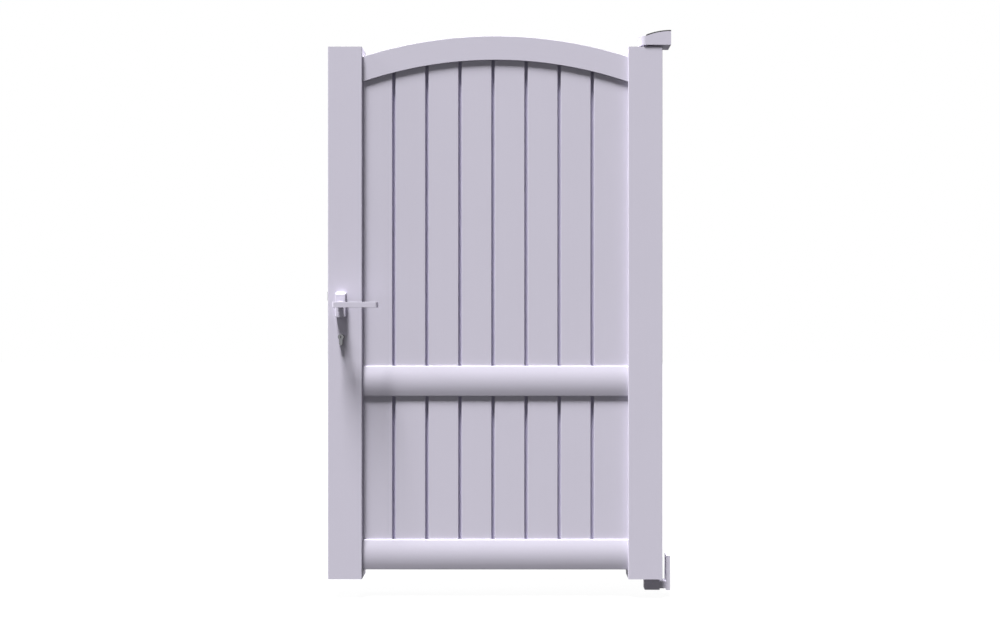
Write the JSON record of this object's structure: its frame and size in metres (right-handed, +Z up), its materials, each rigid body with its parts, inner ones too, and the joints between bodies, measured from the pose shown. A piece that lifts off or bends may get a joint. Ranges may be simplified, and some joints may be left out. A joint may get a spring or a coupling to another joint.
{
  "type": "arched garden gate",
  "caption": "Arched garden gate leaf in powder-coated aluminium with upright boards, lever lock and wall pivot hinges.",
  "frame": {"origin": "on the wall face of the bottom hinge bracket, at mid-depth of the leaf and level with the uprights' lower ends", "axes": "+X into the hinge-side wall, +Y from the street side to the garden side, +Z up"},
  "size_m": [1.02, 0.184, 1.653],
  "materials": {
    "coat": "satin powder coat, pale lilac grey",
    "mill_aluminium": "mill finish",
    "dark_plastic": "fine matt",
    "light_plastic": "matt",
    "nylon": "matt, self-lubricating",
    "steel": "brushed stainless",
    "zinc_steel": "zinc plated",
    "nickel_brass": "satin nickel plate"
  },
  "bodies": {
    "wall_hinges": {"top_hinge_housing": "coat", "top_hinge_lid": "dark_plastic", "top_pivot_slide": "steel", "top_pivot_pin": "steel", "top_clamp_screw": "steel", "bottom_hinge_bracket": "coat", "bottom_pivot_pin": "steel", "bottom_thrust_washer": "nylon"},
    "leaf": {"access_plugs": "light_plastic", "arch_rail": "coat", "back_rosette": "coat", "bottom_pivot_bush": "nylon", "bottom_rail": "coat", "cylinder_body": "nickel_brass", "cylinder_screw": "steel", "faceplate_screws": "steel", "front_rosette": "coat", "hinge_arch_cleat": "mill_aluminium", "hinge_bottom_plug": "coat", "hinge_top_plug": "coat", "hinge_upright": "coat", "latch_arch_cleat": "mill_aluminium", "latch_bottom_cap": "coat", "latch_top_cap": "coat", "latch_upright": "coat", "lock_case": "zinc_steel", "lock_faceplate": "steel", "lower_board_1": "coat", "lower_board_2": "coat", "lower_board_3": "coat", "lower_board_4": "coat", "lower_board_5": "coat", "lower_board_6": "coat", "lower_board_7": "coat", "lower_board_8": "coat", "middle_rail": "coat", "rail_screws": "steel", "rosette_bolts": "steel", "top_pivot_bush": "nylon", "upper_board_1": "coat", "upper_board_2": "coat", "upper_board_3": "coat", "upper_board_4": "coat", "upper_board_5": "coat", "upper_board_6": "coat", "upper_board_7": "coat", "upper_board_8": "coat"},
    "handle": {"front_lever": "coat", "back_lever": "coat", "spindle": "steel", "follower": "zinc_steel", "lever_grub_screws": "steel"},
    "latch": {"latch_bolt": "steel"},
    "front_cylinder": {"front_cylinder_plug": "nickel_brass", "cylinder_cam": "nickel_brass"},
    "back_cylinder": {"back_cylinder_plug": "nickel_brass"},
    "bolt": {"deadbolt": "steel"}
  },
  "joints": [
    {"name": "leaf_swing", "type": "hinge", "parent": "wall_hinges", "child": "leaf", "pos_m": [-0.056, 0, 0], "axis": [0, 0, -1], "range_deg": [0, 90]},
    {"name": "lever_turn", "type": "hinge", "parent": "leaf", "child": "handle", "pos_m": [-0.97, 0, 0.8075], "axis": [0, 1, 0], "range_deg": [0, 35], "stiffness_Nm_per_rad": 1.2, "springref_deg": -28.65},
    {"name": "latch_slide", "type": "slide", "parent": "leaf", "child": "latch", "axis": [1, 0, 0], "range_m": [0, 0.01225]},
    {"name": "front_key_turn", "type": "hinge", "parent": "leaf", "child": "front_cylinder", "pos_m": [-0.97, 0, 0.7135], "axis": [0, -1, 0], "range_deg": [0, 360]},
    {"name": "deadbolt_slide", "type": "slide", "parent": "leaf", "child": "bolt", "axis": [-1, 0, 0], "range_m": [0, 0.014]},
    {"name": "back_key_turn", "type": "hinge", "parent": "leaf", "child": "back_cylinder", "pos_m": [-0.97, 0, 0.7135], "axis": [0, 1, 0], "range_deg": [0, 360]}
  ],
  "couplings": [
    {"joint": "latch_slide", "follows": "lever_turn", "m_per_rad": 0.02},
    {"joint": "front_key_turn", "follows": "deadbolt_slide", "rad_per_m": 448.8}
  ]
}
